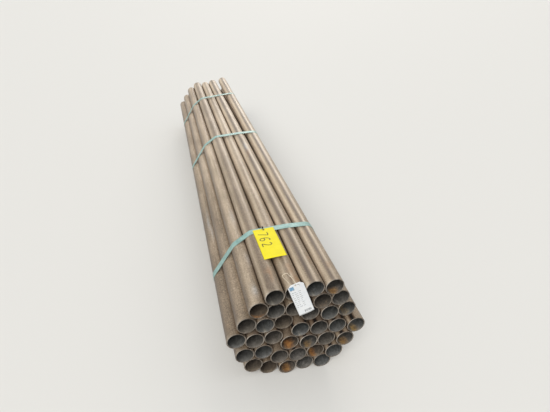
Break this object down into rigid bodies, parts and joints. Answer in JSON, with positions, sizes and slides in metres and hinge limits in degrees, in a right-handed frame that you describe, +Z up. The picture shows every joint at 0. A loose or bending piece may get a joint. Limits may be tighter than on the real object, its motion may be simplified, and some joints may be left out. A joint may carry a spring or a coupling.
{
  "type": "strapped bundle of steel pipes",
  "caption": "Hexagonal bundle of bare round steel pipes held by painted steel straps with crimped seals, with a tag tied to a strap and a tag wired at one pipe mouth.",
  "frame": {"origin": "on the floor, under the centre of the bundle's bounding box", "axes": "+Y along the pipes, away from the tagged end; +Z up; +X to the right seen from the tagged end"},
  "size_m": [0.5406, 3.1632, 0.4662],
  "materials": {
    "pipe_steel": "bare hot-rolled steel, mill scale with light surface rust",
    "strap_paint": "teal paint, thin and scuffed",
    "seal_steel": "dull zinc-coated steel",
    "lot_tag_sheet": "yellow plastic sheet",
    "tie_plastic": "black moulded nylon",
    "mill_tag_sheet": "white printed synthetic sheet",
    "wire_coat": "cream coated wire"
  },
  "bodies": {
    "root": {"lot_tag": "lot_tag_sheet", "mill_tag": "mill_tag_sheet", "pipe_left_1_1": "pipe_steel", "pipe_left_2_1": "pipe_steel", "pipe_left_2_2": "pipe_steel", "pipe_left_3_1": "pipe_steel", "pipe_left_3_2": "pipe_steel", "pipe_left_3_3": "pipe_steel", "pipe_left_4_1": "pipe_steel", "pipe_left_4_2": "pipe_steel", "pipe_left_4_3": "pipe_steel", "pipe_left_5_1": "pipe_steel", "pipe_left_5_2": "pipe_steel", "pipe_left_5_3": "pipe_steel", "pipe_left_6_1": "pipe_steel", "pipe_left_6_2": "pipe_steel", "pipe_right_1_1": "pipe_steel", "pipe_right_1_2": "pipe_steel", "pipe_right_1_3": "pipe_steel", "pipe_right_1_4": "pipe_steel", "pipe_right_2_1": "pipe_steel", "pipe_right_2_2": "pipe_steel", "pipe_right_2_3": "pipe_steel", "pipe_right_2_4": "pipe_steel", "pipe_right_3_1": "pipe_steel", "pipe_right_3_2": "pipe_steel", "pipe_right_3_3": "pipe_steel", "pipe_right_3_4": "pipe_steel", "pipe_right_4_1": "pipe_steel", "pipe_right_4_2": "pipe_steel", "pipe_right_4_3": "pipe_steel", "pipe_right_4_4": "pipe_steel", "pipe_right_5_1": "pipe_steel", "pipe_right_5_2": "pipe_steel", "pipe_right_5_3": "pipe_steel", "pipe_right_6_1": "pipe_steel", "pipe_right_6_2": "pipe_steel", "pipe_right_7_1": "pipe_steel", "pipe_right_7_2": "pipe_steel", "seal_far": "seal_steel", "seal_middle": "seal_steel", "seal_near": "seal_steel", "strap_far": "strap_paint", "strap_middle": "strap_paint", "strap_near": "strap_paint", "tag_tie": "tie_plastic", "tag_wire": "wire_coat"}
  },
  "joints": []
}
